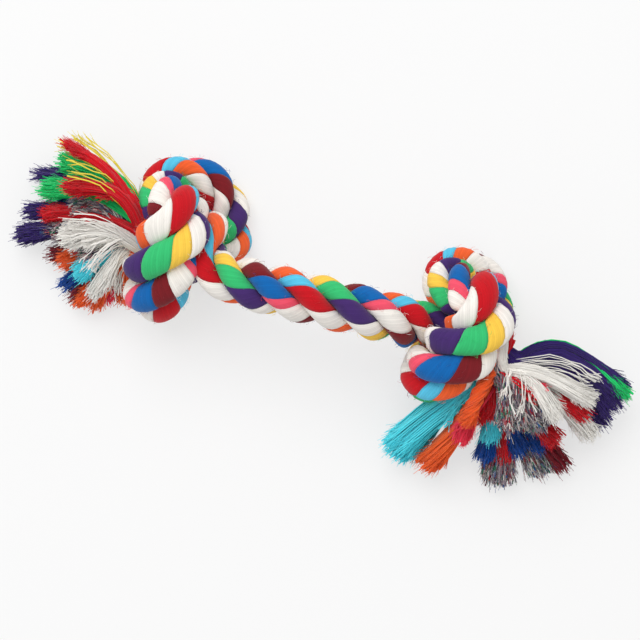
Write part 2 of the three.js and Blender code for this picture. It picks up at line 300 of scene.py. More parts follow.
def laidMesh(name, rings, yarnAcross):
    ringCount, around = rings.shape[:2]
    index = np.arange(ringCount * around).reshape(ringCount, around)
    here = index[:-1]
    beside = np.roll(index, -1, axis=1)[:-1]
    quads = np.stack([here, beside, beside + around, here + around], axis=-1).reshape(-1, 4)
    last = (ringCount - 1) * around
    caps = []
    for j in range(1, around - 1):
        caps.append([0, j + 1, j])
        caps.append([last, last + j, last + j + 1])
    mesh = bpy.data.meshes.new(name)
    mesh.from_pydata(rings.reshape(-1, 3).tolist(), [], quads.tolist() + caps)
    addAttribute(mesh, "yarnAcross", np.tile(yarnAcross, ringCount))
    addAttribute(mesh, "yarnAlong", np.repeat(walk["along"] / mm, around))
    addAttribute(mesh, "yarnTint", np.full(ringCount * around, 0.5))
    addAttribute(mesh, "yarnLoose", np.zeros(ringCount * around))
    addAttribute(mesh, "onOutside", np.tile([0] + [1] * (around - 1), ringCount))
    mesh.shade_smooth()
    return mesh


# Every loose yarn and fibre is a thin tube

yarn = {
    "sides": 3,
    "sideWidth": 0.6,  # in mm, for the cotton's pattern
}


# Helper for node trees. A key is a socket's name or its place among those that are in use.

def pick(sockets, key):
    inUse = [socket for socket in sockets if socket.enabled]
    if isinstance(key, int):
        return inUse[key]
    return next(socket for socket in inUse if socket.name == key)


class Tree:
    def __init__(self, tree):
        self.tree = tree

    def add(self, kind, inputs=None, **settings):
        node = self.tree.nodes.new(kind)
        for key, value in settings.items():
            setattr(node, key, value)
        for key, value in (inputs or {}).items():
            socket = pick(node.inputs, key)
            if isinstance(value, bpy.types.Node):
                value = self.out(value)
            if isinstance(value, bpy.types.NodeSocket):
                self.tree.links.new(value, socket)
            else:
                socket.default_value = value
        return node

    def out(self, node, key=0):
        return pick(node.outputs, key)

    def math(self, operation, a, b=None):
        inputs = {0: a} if b is None else {0: a, 1: b}
        return self.out(self.add("ShaderNodeMath", inputs, operation=operation))

    def plus(self, a, b):
        return self.math("ADD", a, b)

    def times(self, a, b):
        return self.math("MULTIPLY", a, b)

    def vector(self, operation, a, b):
        return self.out(self.add("ShaderNodeVectorMath", {0: a, 1: b}, operation=operation))

    def scaled(self, vector, amount):
        inputs = {"Vector": vector, "Scale": amount}
        return self.out(self.add("ShaderNodeVectorMath", inputs, operation="SCALE"))

    def point(self, x=0.0, y=0.0, z=0.0):
        return self.out(self.add("ShaderNodeCombineXYZ", {"X": x, "Y": y, "Z": z}))

    def place(self):
        return self.add("ShaderNodeSeparateXYZ", {"Vector": self.add("GeometryNodeInputPosition")})

    def attribute(self, name, kind="FLOAT"):
        return self.out(self.add("GeometryNodeInputNamedAttribute", {"Name": name}, data_type=kind))

    def randomOf(self, low, high, identity, seed):
        inputs = {"Min": low, "Max": high, "ID": identity, "Seed": seed}
        return self.out(self.add("FunctionNodeRandomValue", inputs, data_type="FLOAT"))

    def store(self, geometry, name, value, domain="POINT"):
        inputs = {"Geometry": geometry, "Name": name, "Value": value}
        return self.add("GeometryNodeStoreNamedAttribute", inputs, data_type="FLOAT", domain=domain)

    def tube(self, curve, radius, capped=True):
        size = {"Resolution": yarn["sides"], "Radius": 1.0}
        ring = self.add("GeometryNodeCurvePrimitiveCircle", size, mode="RADIUS")
        index = self.out(self.add("GeometryNodeInputIndex"))
        ring = self.store(ring, "yarnAcross", self.times(index, yarn["sideWidth"]))
        inputs = {"Curve": curve, "Profile Curve": ring, "Scale": radius, "Fill Caps": capped}
        return self.add("GeometryNodeCurveToMesh", inputs)

    def aboveFloor(self, geometry, gap):
        place = self.place()
        height = self.math("MAXIMUM", self.out(place, "Z"), gap)
        lifted = self.point(self.out(place, "X"), self.out(place, "Y"), height)
        return self.add("GeometryNodeSetPosition", {"Geometry": geometry, "Position": lifted})

    def join(self, *geometries):
        joined = self.add("GeometryNodeJoinGeometry")
        for geometry in geometries:
            self.tree.links.new(geometry, joined.inputs[0])
        return joined

    def finish(self, geometry, material, name):
        real = self.add("GeometryNodeRealizeInstances", {"Geometry": geometry})
        painted = self.add("GeometryNodeSetMaterial", {"Geometry": real, "Material": material})
        self.add("NodeGroupOutput", {name: painted})


def newGeometryTree(name, sockets, result):
    group = bpy.data.node_groups.new(name, "GeometryNodeTree")
    for socket, kind in sockets.items():
        group.interface.new_socket(socket, in_out="INPUT", socket_type="NodeSocket" + kind)
    group.interface.new_socket(result, in_out="OUTPUT", socket_type="NodeSocketGeometry")
    t = Tree(group)
    given = t.add("NodeGroupInput")
    return group, t, {socket: given.outputs[socket] for socket in sockets}


# Runs a node tree on a mesh and gives the plain mesh that comes out

def grown(name, mesh, group, values):
    source = linkPiece(name, mesh)
    modifier = source.modifiers.new("grown", "NODES")
    modifier.node_group = group
    for item in group.interface.items_tree:
        if item.in_out == "INPUT" and item.name in values:
            modifier[item.identifier] = values[item.name]
    evaluated = source.evaluated_get(bpy.context.evaluated_depsgraph_get())
    result = bpy.data.meshes.new_from_object(evaluated)
    bpy.data.objects.remove(source)
    return result


# Fuzz: short curved fibres that stand off the outside of the laid rope, clear of the floor

fuzz = {
    "density": 0.1 / mm**2,
    "length": 2.6 * mm,
    "radius": 0.045 * mm,
    "lift": 0.42,  # shares of the length
    "kneeReach": 0.2,
    "tipReach": 0.8,
    "shortest": 0.4,
    "longest": 1.2,
    "curveSteps": 3,
    "floorClearance": 1.5,  # in fibre lengths
    "outermost": 0.9,  # 0 is at a strand's heart and 1 on its outside
    # looseness: 0 takes the laid rope's dye, 1 the loose yarn's colour, which is brightened with painted
    # light
    "looseness": 0.7,  # 0 takes the laid rope's dye, 1 the loose yarn's
    "seed": 11,
}


def fuzzTree():
    group, t, given = newGeometryTree("ropeFuzz", {
        "Rope": "Geometry", "Density": "Float", "Fibre Length": "Float", "Fibre Radius": "Float",
        "Lift": "Float", "Material": "Material",
    }, "Fuzzy Rope")
    length = given["Fibre Length"]
    height = t.out(t.place(), "Z")
    clear = t.math("GREATER_THAN", height, t.times(length, fuzz["floorClearance"]))
    clear = t.times(clear, t.math("GREATER_THAN", t.attribute("onOutside"), fuzz["outermost"]))
    scatter = {
        "Mesh": given["Rope"], "Selection": clear, "Density": given["Density"], "Seed": fuzz["seed"],
    }
    spots = t.add("GeometryNodeDistributePointsOnFaces", scatter)
    index = t.out(t.add("GeometryNodeInputIndex"))
    rise = t.times(length, given["Lift"])
    fibre = t.add("GeometryNodeCurveQuadraticBezier", {
        "Resolution": fuzz["curveSteps"], "Start": (0.0, 0.0, 0.0),
        "Middle": t.point(x=t.times(length, fuzz["kneeReach"]), z=rise),
        "End": t.point(x=t.times(length, fuzz["tipReach"]), z=rise),
    })
    fibre = t.tube(fibre, given["Fibre Radius"], False)
    spin = t.point(z=t.randomOf(0.0, full, index, fuzz["seed"] + 1))
    normal = t.out(spots, "Normal")
    upright = {"Rotation": spin, "Vector": normal}
    rotation = t.add("FunctionNodeAlignRotationToVector", upright, axis="Z")
    fibres = t.add("GeometryNodeInstanceOnPoints", {
        "Points": t.out(spots, "Points"), "Instance": fibre, "Rotation": rotation,
        "Scale": t.randomOf(fuzz["shortest"], fuzz["longest"], index, fuzz["seed"] + 2),
    })
    tint = t.randomOf(0.0, 1.0, index, fuzz["seed"] + 3)
    fibres = t.store(fibres, "yarnTint", tint, "INSTANCE")
    fibres = t.store(fibres, "yarnLoose", fuzz["looseness"], "INSTANCE")
    joined = t.join(given["Rope"], t.out(fibres))
    bare = t.add("GeometryNodeRemoveAttribute", {"Geometry": joined, "Name": "onOutside"})
    t.finish(bare, given["Material"], "Fuzzy Rope")
    return group


ropeFuzz = fuzzTree()


def fuzzy(name, mesh, material):
    return grown(name, mesh, ropeFuzz, {
        "Density": fuzz["density"], "Fibre Length": fuzz["length"], "Fibre Radius": fuzz["radius"],
        "Lift": fuzz["lift"], "Material": material,
    })


# Tassels: every tuft of yarn follows a guide from the rope's end to its tip.

tassel = {
    "length": 50 * mm,
    "rootSpread": 2.6 * mm,
    "rootRings": 8,  # rings of rope over which its yarns come loose
    "rootShare": 0.4,  # how much of a bundle is left at its end
    "rootStep": 4,  # rings between two points of a guide there
    "guideSteps": 4,
    "yarnRadius": 0.235 * mm,
    "thinnest": 0.75,
    "thickest": 1.2,
    "puff": 0.5,  # how much a yarn swells towards its cut end
    "puffLateness": 4.0,  # higher keeps it nearer the end
    "pointsPerYarn": 14,
    "fullness": 1.15,  # against the numbers of yarns in the rows below
    "clumps": 5,
    "clumpDepth": 0.34,
    "clumpNotch": 0.2,  # how much shorter the yarns between two clumps are
    "waviness": 4 * mm,
    "waves": 90.0,  # per metre
    "waveStep": 3.7,  # how unlike two neighbouring yarns sway
    "waveLateness": 5.0,
    "raggedness": 0.12,
    "frayStart": 0.88,
    "frayFibres": 3,
    "frayPoints": 3,
    "frayLength": 2.4 * mm,
    "frayLateness": 1.5,
    "frayRadius": 0.42,  # of a yarn's
    "floorGap": 1.9,  # in yarn radii
    "seed": 1,
}
# Each row: strand, bundle, then for the tuft's middle and for its tip the turn (degrees from +X), the
# reach and the height as shares of the tassel's length, then the tip's width as such a share, how
# late it flares (1 is evenly), its number of yarns, its twist in turns and its waviness.
leftTufts = [
    ("B", "yellow", (116, 0.61, 0.64), (137, 1.12, 0.44), 0.06, 1.2, 6, 0.1, 1.1),
    ("B", "yellow", (119, 0.59, 0.64), (146, 1.14, 0.36), 0.06, 1.2, 6, 0.1, 1.2),
    ("B", "yellow", (121, 0.58, 0.48), (144, 0.95, 0.2), 0.08, 1, 60, 0.1, 0.8),
    ("B", "green", (116, 0.55, 0.56), (149, 0.95, 0.28), 0.09, 2, 190, 0.1, 0.5),
    ("A", "red", (115, 0.55, 0.76), (142, 1.03, 0.6), 0.04, 1, 130, 0.3, 0.25),
    ("A", "red", (115, 0.45, 0.76), (159, 0.75, 0.6), 0.07, 1.5, 170, 0.1, 0.3),
    ("A", "red", (108, 0.4, 0.72), (145, 0.51, 0.64), 0.07, 1, 70, 0.1, 1.2),
    ("B", "green", (139, 0.53, 0.48), (167, 0.94, 0.32), 0.1, 3, 200, 0, 0.4),
    ("B", "purple", (140, 0.68, 0.32), (163, 1.09, 0.12), 0.07, 3, 70, 0, 1),
    ("C", "core", (138, 0.38, 0.44), (166, 0.63, 0.36), 0.11, 1, 170, 0, 1.8),
    ("C", "blue", (152, 0.53, 0.28), (170, 0.85, 0.16), 0.07, 2, 60, 0, 1),
    ("B", "purple", (164, 0.57, 0.28), (180, 1.02, 0.2), 0.08, 3, 120, 0, 0.8),
    ("A", "red", (165, 0.51, 0.4), (180, 0.85, 0.32), 0.07, 3, 120, 0, 0.6),
    ("B", "purple", (183, 0.59, 0.24), (192, 1.06, 0.24), 0.1, 4, 200, 0, 0.6),
    ("B", "core", (178, 0.48, 0.28), (190, 0.79, 0.24), 0.1, 2, 190, 0, 1.6),
    ("A", "white", (170, 0.29, 0.72), (195, 0.63, 0.52), 0.11, 2.5, 280, 0.1, 0.4),
    ("C", "white", (178, 0.19, 0.72), (200, 0.46, 0.6), 0.07, 1.5, 90, 0.1, 0.9),
    ("A", "core", (192, 0.21, 0.52), (208, 0.5, 0.4), 0.11, 1, 200, 0, 1.5),
    ("C", "maroon", (200, 0.47, 0.2), (204, 0.81, 0.12), 0.08, 2, 100, 0, 1),
    ("A", "orange", (207, 0.39, 0.32), (210, 0.72, 0.28), 0.09, 3, 150, 0, 0.6),
    ("A", "light_blue", (218, 0.35, 0.44), (225, 0.62, 0.4), 0.1, 2.5, 190, 0, 0.5),
    ("C", "blue", (220, 0.47, 0.2), (225, 0.8, 0.12), 0.08, 3, 100, 0, 0.8),
    ("C", "maroon", (232, 0.44, 0.2), (235, 0.77, 0.1), 0.09, 2, 110, 0, 1),
    ("A", "orange", (238, 0.46, 0.28), (240, 0.78, 0.16), 0.07, 3, 110, 0, 0.6),
    ("C", "white", (238, 0.28, 0.64), (244, 0.63, 0.28), 0.07, 1.5, 130, 0, 0.6),
    ("B", "white", (236, 0.22, 0.68), (248, 0.49, 0.4), 0.06, 1, 44, 0, 1.4),
    ("A", "orange", (245, 0.31, 0.48), (251, 0.72, 0.1), 0.05, 2, 70, 0, 0.6),
    ("A", "orange", (257, 0.29, 0.44), (269, 0.6, 0.1), 0.06, 1.5, 36, 0, 1.6),
    ("B", "white", (246, 0.23, 0.56), (259, 0.54, 0.24), 0.05, 1, 22, 0, 1.6),
    ("C", "pink", (245, 0.36, 0.32), (254, 0.59, 0.12), 0.09, 1, 90, 0, 1.2),
    ("C", "maroon", (253, 0.32, 0.24), (260, 0.52, 0.1), 0.09, 1, 100, 0, 1.2),
    ("B", "yellow", (129, 0.59, 0.86), (151, 0.86, 0.66), 0.1, 1, 4, 0, 1.3),
    ("C", "white", (195, 0.19, 0.84), (226, 0.52, 0.56), 0.09, 1, 9, 0, 1.5),
    ("A", "white", (162, 0.34, 0.84), (182, 0.64, 0.68), 0.08, 1, 7, 0, 1.5),
]
rightTufts = [
    ("A", "light_blue", (-136, 0.54, 0.48), (-129, 1.14, 0.24), 0.15, 0.8, 340, 0.1, 0.3),
    ("A", "light_blue", (-131, 0.53, 0.32), (-122, 1.12, 0.16), 0.09, 1.0, 80, 0.1, 0.7),
    ("A", "orange", (-129, 0.22, 0.88), (-110, 0.52, 0.76), 0.07, 1, 200, 1.6, 0.05),
    ("A", "orange", (-110, 0.53, 0.52), (-113, 1.04, 0.24), 0.12, 3, 240, 0.4, 0.4),
    ("C", "pink", (-111, 0.37, 0.64), (-105, 0.69, 0.54), 0.08, 2.5, 190, 0, 0.5),
    ("A", "red", (-101, 0.19, 0.64), (-93, 0.42, 0.56), 0.09, 1, 150, 0, 1.1),
    ("A", "red", (-107, 0.18, 0.56), (-99, 0.49, 0.48), 0.07, 1, 80, 0, 1.4),
    ("A", "light_blue", (-81, 0.36, 0.4), (-83, 0.62, 0.4), 0.09, 3, 140, 0, 0.6),
    ("C", "blue", (-80, 0.45, 0.28), (-85, 0.79, 0.28), 0.1, 3, 160, 0, 0.6),
    ("C", "blue", (-64, 0.42, 0.28), (-60, 0.74, 0.32), 0.1, 3, 190, 0, 0.7),
    ("C", "blue", (-49, 0.43, 0.28), (-46, 0.79, 0.28), 0.09, 3, 130, 0, 0.7),
    ("A", "red", (-71, 0.45, 0.28), (-73, 0.79, 0.28), 0.08, 3, 120, 0, 0.7),
    ("C", "core", (-73, 0.5, 0.2), (-75, 0.97, 0.1), 0.16, 1.5, 380, 0, 0.9),
    ("C", "maroon", (-49, 0.5, 0.28), (-41, 1.04, 0.12), 0.09, 2, 150, 0, 0.7),
    ("A", "red", (-39, 0.43, 0.48), (-37, 0.8, 0.4), 0.09, 2, 150, 0, 0.7),
    ("C", "core", (-52, 0.49, 0.2), (-51, 0.98, 0.1), 0.13, 1.5, 260, 0, 0.9),
    ("B", "core", (-52, 0.14, 0.84), (-62, 0.46, 0.72), 0.13, 1, 380, 0, 2),
    ("A", "core", (-27, 0.26, 0.76), (-41, 0.58, 0.64), 0.13, 1, 330, 0, 1.8),
    ("C", "pink", (19, 0.17, 0.9), (-9, 0.43, 0.76), 0.04, 1, 26, 0, 1.6),
    ("A", "red", (-10, 0.08, 0.9), (-25, 0.4, 0.82), 0.04, 1, 12, 0, 1.8),
    ("A", "white", (24, 0.27, 0.92), (-4, 0.83, 0.6), 0.08, 1.4, 250, 0.1, 0.35),
    ("A", "white", (18, 0.22, 0.88), (-26, 0.63, 0.72), 0.09, 2.5, 150, 0.1, 0.6),
    ("B", "white", (-6, 0.5, 0.6), (-21, 0.99, 0.28), 0.1, 1.5, 160, 0.1, 0.8),
    ("A", "red", (-2, 0.44, 0.6), (-15, 0.85, 0.52), 0.07, 3, 100, 0, 0.6),
    ("B", "purple", (46, 0.53, 0.72), (3, 1.08, 0.36), 0.12, 0.5, 240, 0.1, 0.3),
    ("B", "purple", (31, 0.53, 0.64), (-6, 1.05, 0.28), 0.13, 0.5, 260, 0.1, 0.35),
    ("B", "purple", (21, 0.45, 0.48), (-15, 1.02, 0.16), 0.12, 0.6, 220, 0, 0.5),
    ("B", "green", (52, 0.61, 0.68), (2, 1.13, 0.44), 0.05, 2, 110, 0.1, 0.25),
    ("B", "yellow", (24, 0.51, 0.28), (-12, 0.98, 0.12), 0.06, 1, 40, 0, 1),
    ("C", "white", (46, 0.06, 0.94), (-67, 0.25, 0.9), 0.06, 1, 6, 0, 2.6),
    ("C", "white", (14, 0.19, 0.92), (-50, 0.39, 0.84), 0.1, 1, 9, 0, 2.4),
    ("A", "white", (30, 0.47, 0.92), (5, 0.88, 0.68), 0.09, 1, 8, 0, 1.4),
    ("A", "light_blue", (-138, 0.35, 0.68), (-121, 0.69, 0.52), 0.06, 1, 12, 0, 1.2),
    ("C", "pink", (-104, 0.3, 0.84), (-116, 0.65, 0.6), 0.06, 1, 12, 0, 1.2),
]


# Towards the tassels a bundle thins out inside its own loose yarns, and the floor presses it flat

def settled(rings):
    fromEnd = np.minimum(np.arange(len(rings)), np.arange(len(rings))[::-1])
    size = np.interp(fromEnd, [0, tassel["rootRings"]], [tassel["rootShare"], 1])
    middles = rings.mean(axis=1, keepdims=True)
    rings = middles + (rings - middles) * size[:, None, None]
    rings[..., 2] = np.maximum(rings[..., 2], lay["floorGap"])
    return rings


def tuftGuide(inside, centre, tuft):
    spots = []
    for turn, reach, rise in tuft[2:4]:
        heading = np.array([math.cos(math.radians(turn)), math.sin(math.radians(turn)), 0])
        spot = centre + heading * reach * tassel["length"]
        spot[2] = rise * tassel["length"]
        spots.append(spot)
    return smoothRoute(np.vstack([inside, spots]), tassel["guideSteps"])


# Each yarn keeps its own place in the tuft, which is gathered into clumps

def tuftOffset(t, whose, factor, start, clump):
    turned = t.times(t.times(t.attribute("tuftTwist"), full), factor)
    angle = t.plus(start, turned)
    evenly = t.math("SQRT", t.randomOf(0.0, 1.0, whose, tassel["seed"] + 1))
    away = t.times(t.times(evenly, t.attribute("tuftSpread")), clump)
    normal = t.out(t.add("GeometryNodeInputNormal"))
    tangent = t.out(t.add("GeometryNodeInputTangent"))
    binormal = t.vector("CROSS_PRODUCT", tangent, normal)
    sideways = t.scaled(normal, t.math("COSINE", angle))
    offset = t.vector("ADD", sideways, t.scaled(binormal, t.math("SINE", angle)))
    return t.scaled(offset, away)


# It also sways, most near its cut end

def tuftSway(t, whose, factor, length, waviness):
    place = t.point(t.times(whose, tassel["waveStep"]), t.times(length, tassel["waves"]), 0.5)
    noise = t.add("ShaderNodeTexNoise", {"Vector": place, "Scale": 1.0, "Detail": 1.0})
    sway = t.vector("SUBTRACT", t.out(noise, "Color"), (0.5, 0.5, 0.5))
    late = t.plus(factor, t.math("POWER", factor, tassel["waveLateness"]))
    return t.scaled(sway, t.times(late, t.times(t.attribute("tuftWave"), waviness)))


# The cut end of a yarn opens into fibres

def frayedEnds(t, curves, whose, factor, given):
    tips = {"Curve": curves, "Start": tassel["frayStart"], "End": 1.0}
    fray = t.add("GeometryNodeTrimCurve", tips, mode="FACTOR")
    fray = t.add("GeometryNodeResampleCurve", {"Curve": fray, "Count": tassel["frayPoints"]})
    copies = {"Geometry": fray, "Amount": tassel["frayFibres"]}
    fray = t.add("GeometryNodeDuplicateElements", copies, domain="SPLINE")
    anyway = {"Min": (-1.0,) * 3, "Max": (1.0,) * 3, "ID": whose, "Seed": tassel["seed"] + 5}
    way = t.out(t.add("FunctionNodeRandomValue", anyway, data_type="FLOAT_VECTOR"))
    late = t.math("POWER", factor, tassel["frayLateness"])
    offset = t.scaled(way, t.times(late, given["Fray Length"]))
    fray = t.add("GeometryNodeSetPosition", {"Geometry": fray, "Offset": offset})
    fray = t.aboveFloor(fray, given["Yarn Radius"])
    return t.tube(fray, t.times(given["Yarn Radius"], tassel["frayRadius"]), False)


def tuftTree():
    group, t, given = newGeometryTree("tuftYarns", {
        "Guides": "Geometry", "Yarn Radius": "Float", "Waviness": "Float", "Raggedness": "Float",
        "Fray Length": "Float", "Material": "Material",
    }, "Yarns")
    curves = t.add("GeometryNodeMeshToCurve", {"Mesh": given["Guides"]})
    evenly = {"Curve": curves, "Count": tassel["pointsPerYarn"]}
    curves = t.add("GeometryNodeResampleCurve", evenly)
    copies = {"Geometry": curves, "Amount": t.attribute("yarnCount", "INT")}
    curves = t.add("GeometryNodeDuplicateElements", copies, domain="SPLINE")
    whose = t.out(t.add("GeometryNodeCurveOfPoint"), "Curve Index")
    parameter = t.add("GeometryNodeSplineParameter")
    factor = t.out(parameter, "Factor")
    length = t.out(parameter, "Length")

    start = t.randomOf(0.0, full, whose, tassel["seed"])
    clump = t.math("ABSOLUTE", t.math("COSINE", t.times(start, tassel["clumps"] / 2)))
    clump = t.plus(1 - tassel["clumpDepth"], t.times(clump, tassel["clumpDepth"]))
    offset = tuftOffset(t, whose, factor, start, clump)
    sway = tuftSway(t, whose, factor, length, given["Waviness"])
    moved = {"Geometry": curves, "Offset": t.vector("ADD", offset, sway)}
    curves = t.add("GeometryNodeSetPosition", moved)
    curves = t.aboveFloor(curves, t.times(given["Yarn Radius"], tassel["floorGap"]))

    index = t.out(t.add("GeometryNodeInputIndex"))
    shortest = t.math("SUBTRACT", 1.0, given["Raggedness"])
    ending = t.randomOf(shortest, 1.0, index, tassel["seed"] + 2)
    ending = t.times(ending, t.math("POWER", clump, tassel["clumpNotch"]))
    curves = t.add("GeometryNodeTrimCurve", {"Curve": curves, "End": ending}, mode="FACTOR")
    curves = t.store(curves, "yarnTint", t.randomOf(0.0, 1.0, whose, tassel["seed"] + 3))
    curves = t.store(curves, "yarnAlong", t.times(length, 1 / mm))
    curves = t.store(curves, "yarnLoose", 1.0)
    size = t.randomOf(tassel["thinnest"], tassel["thickest"], whose, tassel["seed"] + 4)
    late = t.math("POWER", factor, tassel["puffLateness"])
    puffed = t.plus(1.0, t.times(late, tassel["puff"]))
    yarns = t.tube(curves, t.times(t.times(given["Yarn Radius"], size), puffed))
    fray = frayedEnds(t, curves, whose, factor, given)
    smooth = t.add("GeometryNodeSetShadeSmooth", {"Geometry": t.join(t.out(yarns), t.out(fray))})
    t.finish(smooth, given["Material"], "Yarns")
    return group


yarnTree = tuftTree()
print("node trees built")


def growTufts(name, guides, material):
    points, edges = [], []
    values = {"tuftSpread": [], "yarnCount": [], "tuftTwist": [], "tuftWave": []}
    for line, tuft in guides:
        width, flare, count, twist, wave = tuft[4:]
        steps = len(line)
        edges += [(len(points) + i, len(points) + i + 1) for i in range(steps - 1)]
        points += line.tolist()
        share = np.linspace(0, 1, steps) ** flare
        widening = width * tassel["length"] - tassel["rootSpread"]
        values["tuftSpread"] += list(tassel["rootSpread"] + share * widening)
        values["yarnCount"] += [round(count * tassel["fullness"])] * steps
        values["tuftTwist"] += [twist] * steps
        values["tuftWave"] += [wave] * steps
    mesh = bpy.data.meshes.new(name)
    mesh.from_pydata(points, edges, [])
    for key, column in values.items():
        addAttribute(mesh, key, column, "INT" if key == "yarnCount" else "FLOAT")
    return grown(name, mesh, yarnTree, {
        "Yarn Radius": tassel["yarnRadius"], "Waviness": tassel["waviness"],
        "Raggedness": tassel["raggedness"], "Fray Length": tassel["frayLength"],
        "Material": material,
    })


# Cotton: fine yarns side by side, each with its own shade and its twist, with painted shade in the grooves
# between yarns and painted light and shade along the twist

# Each dye as it looks on the laid rope and on the loose yarn. The loose yarn's colour is partly its own hue
# and partly painted light: most are brightened against the shade the tufts cast on themselves.
colors = {
    "orange": ("F2622E", "FF6A2C"), "light_blue": ("58C2E4", "5CF0FF"), "red": ("C60E1C", "DE1222"),
    "white": ("F2EDE6", "FFFCF6"), "yellow": ("F8CA4C", "F0DC4C"), "green": ("36BE72", "20DE7A"),
    "purple": ("44296A", "3A2674"), "maroon": ("781820", "861828"), "blue": ("0864AE", "0C50AC"),
    "pink": ("F0546C", "FF3C58"),
}
# Filler yarns in a mixed core: where each colour starts on a scale from 0 to 1
mixedYarns = [
    (0, "8A7E8C"), (0.24, "D8D2CE"), (0.36, "34304A"), (0.48, "A4949C"), (0.62, "BC2436"),
    (0.7, "2A5E9C"), (0.76, "2E8A68"), (0.83, "EEE8E0"), (0.93, "5A2434"),
]
cotton = {
    "roughness": 0.88,
    "sheen": 0.15,
    "specular": 0.18,
    "bump": 0.25,
    "bumpDepth": 0.4 * mm,
    "twistAcross": 9.0,  # how often the twist crosses a yarn, and how often it comes along it
    "twistAlong": 7.0,
    "cloudAcross": 1.1,  # scale of the slow changes in shade
    "cloudAlong": 0.16,
    "cloudDetail": 3.0,
    "cloudRoughness": 0.6,
    "darkest": 0.84,  # shade of the darkest yarn
    "yarnShade": 0.14,  # how much lighter another yarn may be
    "cloudShade": 0.16,
    # painted shade: how much darker each yarn is towards its edges, in the grooves between yarns
    "paintedGrooveShade": 0.1,
    # painted light and shade: stripes along the twist, lighter and darker as on its ridges
    "paintedTwistShade": 0.02,
    "ridgeHeight": 0.6,
    "twistHeight": 0.16,
    "cloudHeight": 0.5,
    "tintScatter": 91.7,  # sets yarns of another tint far apart in the noise
    "speckScatter": 913.0,
    "speckLength": 2.5,  # in mm, in a mixed core
}


def linear(color):
    parts = [int(color[i : i + 2], 16) / 255 for i in (0, 2, 4)]
    return [c / 12.92 if c <= 0.04045 else ((c + 0.055) / 1.055) ** 2.4 for c in parts] + [1]


def grainAndShadeGroup():
    group = bpy.data.node_groups.new("yarnGrainAndShade", "ShaderNodeTree")
    face = group.interface
    for name, value in (("Across", 0), ("Along", 0), ("Yarn Width", 1), ("Tint", 0.5)):
        socket = face.new_socket(name, in_out="INPUT", socket_type="NodeSocketFloat")
        socket.default_value = value
    for name in ("Shade", "Height"):
        face.new_socket(name, in_out="OUTPUT", socket_type="NodeSocketFloat")
    t = Tree(group)
    given = t.add("NodeGroupInput").outputs
    across, along, tint = given["Across"], given["Along"], given["Tint"]
    place = t.math("DIVIDE", across, given["Yarn Width"])
    ridge = t.math("SINE", t.times(t.math("FRACT", place), math.pi))
    ridge = t.math("SQRT", t.math("ABSOLUTE", ridge))
    number = t.plus(t.math("FLOOR", place), t.times(tint, cotton["tintScatter"]))
    own = t.out(t.add("ShaderNodeTexWhiteNoise", {"W": number}, noise_dimensions="1D"))
    slant = t.plus(t.times(across, cotton["twistAcross"]), t.times(along, cotton["twistAlong"]))
    twist = t.math("SINE", slant)
    spot = t.point(t.times(across, cotton["cloudAcross"]), t.times(along, cotton["cloudAlong"]), tint)
    cloud = t.out(t.add("ShaderNodeTexNoise", {
        "Vector": spot, "Scale": 1.0, "Detail": cotton["cloudDetail"],
        "Roughness": cotton["cloudRoughness"],
    }))
    shade = t.plus(cotton["darkest"], t.times(own, cotton["yarnShade"]))
    shade = t.plus(shade, t.times(cloud, cotton["cloudShade"]))
    # Painted shade: each yarn is darkened towards its edges, where the grooves between yarns lie
    groove = t.plus(1 - cotton["paintedGrooveShade"], t.times(ridge, cotton["paintedGrooveShade"]))
    # Painted light and shade along the twist is added to the colour here, with the painted groove shade
    shade = t.plus(t.times(shade, groove), t.times(twist, cotton["paintedTwistShade"]))
    height = t.plus(t.times(ridge, cotton["ridgeHeight"]), t.times(twist, cotton["twistHeight"]))
    height = t.plus(height, t.times(cloud, cotton["cloudHeight"]))
    t.add("NodeGroupOutput", {"Shade": shade, "Height": height})
    return group


yarnGrainAndShade = grainAndShadeGroup()


def valueAlong(t, name):
    return t.out(t.add("ShaderNodeAttribute", attribute_name=name), "Fac")


def dyedColor(t, name):
    # The loose yarn's colour is brightened with painted light
    laidColor, looseLitColor = [linear(color) for color in colors[name]]
    levels = {"Factor": valueAlong(t, "yarnLoose"), "A": laidColor, "B": looseLitColor}
    return t.out(t.add("ShaderNodeMix", levels, data_type="RGBA"), "Result")


def mixedColor(t, along, tint):
    bit = t.math("FLOOR", t.times(along, 1 / cotton["speckLength"]))
    which = t.plus(bit, t.times(tint, cotton["speckScatter"]))
    speck = t.out(t.add("ShaderNodeTexWhiteNoise", {"W": which}, noise_dimensions="1D"))
    ramp = t.add("ShaderNodeValToRGB", {"Fac": speck})
    stops = ramp.color_ramp
    stops.interpolation = "CONSTANT"
    stops.elements.remove(stops.elements[-1])
    for place, color in mixedYarns:
        stop = stops.elements[0] if place == 0 else stops.elements.new(place)
        stop.position = place
        stop.color = linear(color)
    return t.out(ramp, "Color")


